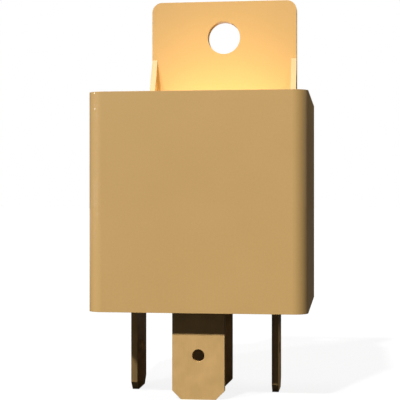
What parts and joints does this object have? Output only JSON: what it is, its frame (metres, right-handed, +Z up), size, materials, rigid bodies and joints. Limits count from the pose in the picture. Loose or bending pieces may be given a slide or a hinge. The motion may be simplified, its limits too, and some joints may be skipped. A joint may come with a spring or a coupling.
{
  "type": "automotive relay",
  "caption": "Plug-in changeover relay: square moulded cover with a holed fixing tab, flat plug blades below, and a coil, hinged armature and contacts inside.",
  "frame": {"origin": "centre of the seating plane, on the underside of the base, midway between the cover's sides and between its front and back", "axes": "+Z up through the cover towards the fixing tab, blades point to -Z; -Y is the front, +Y the back that carries the tab; X runs across the cover"},
  "size_m": [0.0262, 0.0264, 0.0515],
  "materials": {
    "cover_plastic": "moulded thermoplastic, satin to glossy, tan",
    "base_plastic": "moulded glass-filled thermoplastic, matt, dark brown",
    "blade_brass": "stamped brass strip",
    "magnet_iron": "stamped soft iron, nickel plated",
    "core_iron": "turned soft iron, nickel plated",
    "bobbin_nylon": "moulded nylon, natural white",
    "enamelled_copper": "enamelled copper wire in even layers",
    "spring_bronze": "rolled phosphor bronze strip",
    "rivet_steel": "steel rivets, zinc plated",
    "contact_silver": "silver alloy contact rivets",
    "resistor_lacquer": "lacquered film resistor, blue",
    "tinned_wire": "tinned copper wire"
  },
  "bodies": {
    "base": {"base": "base_plastic", "terminal_87": "blade_brass", "terminal_87a": "blade_brass", "terminal_85": "blade_brass", "terminal_86": "blade_brass", "terminal_30": "blade_brass", "magnet_frame": "magnet_iron", "core": "core_iron", "bobbin": "bobbin_nylon", "winding": "enamelled_copper", "frame_rivets": "rivet_steel", "contact_make": "contact_silver", "contact_break": "contact_silver", "resistor": "resistor_lacquer", "resistor_leads": "tinned_wire", "coil_wires": "enamelled_copper"},
    "armature": {"armature": "magnet_iron", "contact_spring": "spring_bronze", "spring_rivets": "rivet_steel", "moving_contact": "contact_silver"},
    "cover": {"cover": "cover_plastic"}
  },
  "joints": [
    {"name": "armature_hinge", "type": "hinge", "parent": "base", "child": "armature", "pos_m": [0, 0.0101, 0.01965], "axis": [1, 0, 0], "range_deg": [0, 3], "stiffness_Nm_per_rad": 0.05, "springref_deg": -5.73, "deforming": ["contact_spring"]},
    {"name": "cover_lift", "type": "slide", "parent": "base", "child": "cover", "axis": [0, 0, 1], "range_m": [0, 0.03]}
  ]
}
